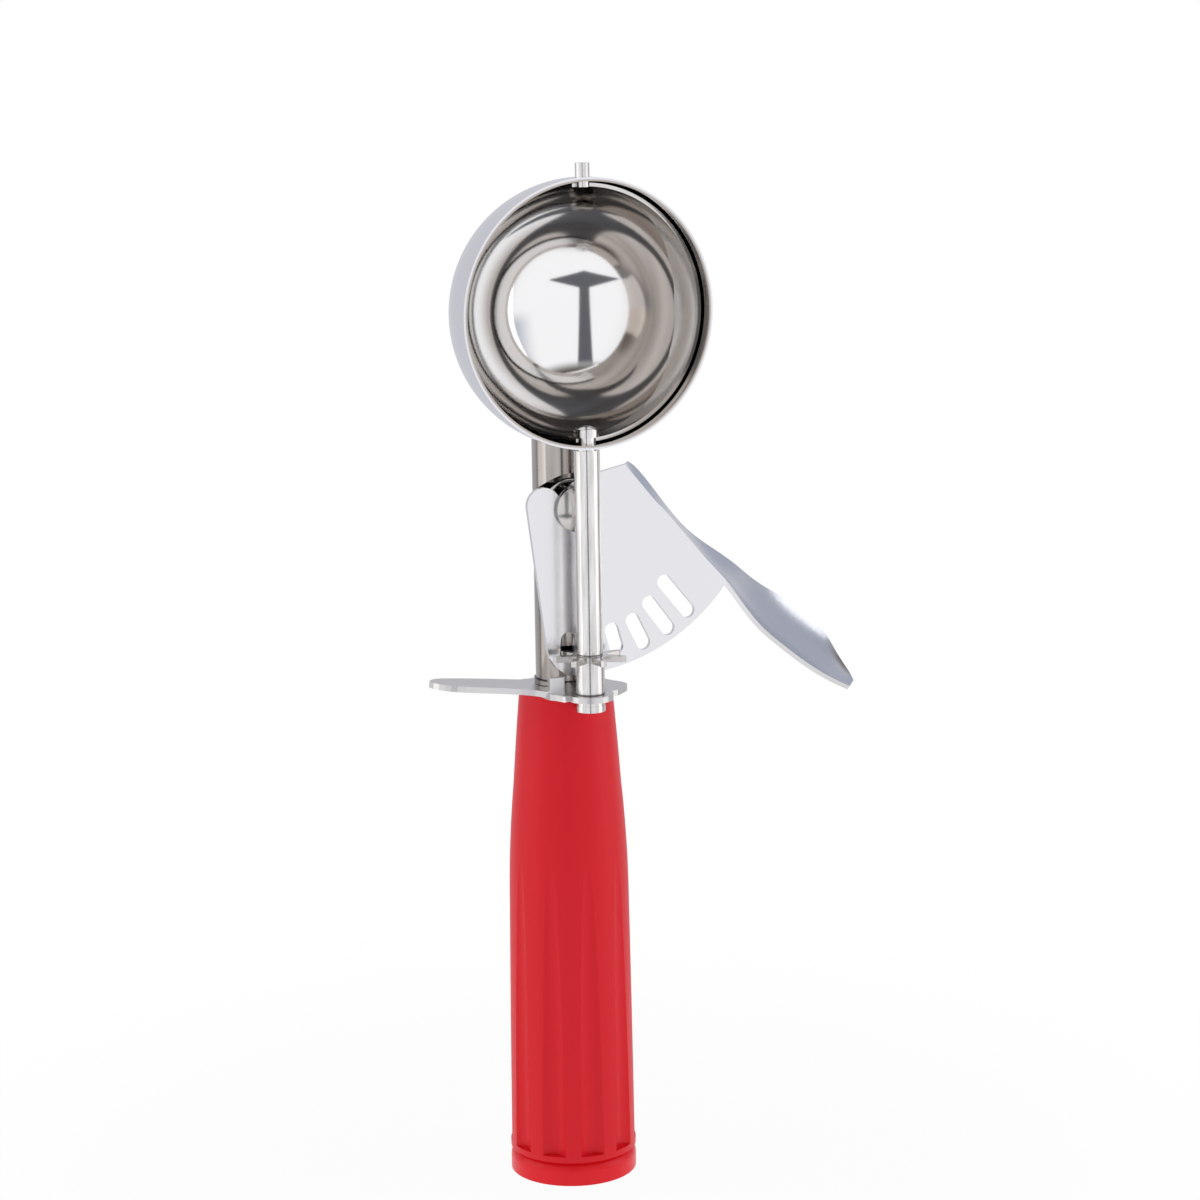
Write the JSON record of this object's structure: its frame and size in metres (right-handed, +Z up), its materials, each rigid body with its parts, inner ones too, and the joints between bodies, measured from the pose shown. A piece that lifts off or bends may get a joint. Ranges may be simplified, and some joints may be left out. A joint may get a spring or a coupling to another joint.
{
  "type": "lever ice cream scoop",
  "caption": "Lever ice cream scoop: steel bowl on a tube shank, a slotted thumb lever turning a star pinion and a curved scraper blade, on a fluted plastic handle",
  "frame": {"origin": "centre of the flat butt of the handle", "axes": "+Z up the handle from the butt to the bowl, -Y out of the bowl's mouth, +X toward the thumb lever"},
  "size_m": [0.0951, 0.0343, 0.2108],
  "materials": {
    "bowl_steel": "mirror polished",
    "braze": "satin",
    "tube_steel": "polished",
    "flange_steel": "polished",
    "rivet_steel": "polished",
    "spring_steel": "drawn wire",
    "lever_steel": "bright polished",
    "drive_steel": "polished",
    "pinion_steel": "plated",
    "blade_steel": "polished",
    "grip_plastic": "satin gloss"
  },
  "bodies": {
    "frame": {"bowl": "bowl_steel", "braze_ring": "braze", "shank_tube": "tube_steel", "tube_collar": "tube_steel", "flange_plate": "flange_steel", "handle_grip": "grip_plastic", "butt_cap": "grip_plastic", "pivot_rivet": "rivet_steel", "pivot_barrel": "rivet_steel", "rivet_washer": "rivet_steel", "return_spring": "spring_steel"},
    "lever": {"thumb_lever": "lever_steel"},
    "scraper": {"drive_rod": "drive_steel", "drive_sleeve": "drive_steel", "pinion_hub": "drive_steel", "rod_retainer": "drive_steel", "star_pinion": "pinion_steel", "scraper_blade": "blade_steel", "top_pin": "drive_steel"}
  },
  "joints": [
    {"name": "lever_turn", "type": "hinge", "parent": "frame", "child": "lever", "pos_m": [0, 0, 0.1416], "axis": [0, 1, 0], "range_deg": [0, 34], "stiffness_Nm_per_rad": 0.25, "springref_deg": -34.38, "deforming": ["return_spring"]},
    {"name": "scraper_turn", "type": "hinge", "parent": "frame", "child": "scraper", "pos_m": [0, -0.0126, 0.1813], "axis": [0, 0, 1], "range_deg": [0, 165.5]}
  ],
  "couplings": [
    {"joint": "scraper_turn", "follows": "lever_turn", "ratio": 4.8519}
  ]
}
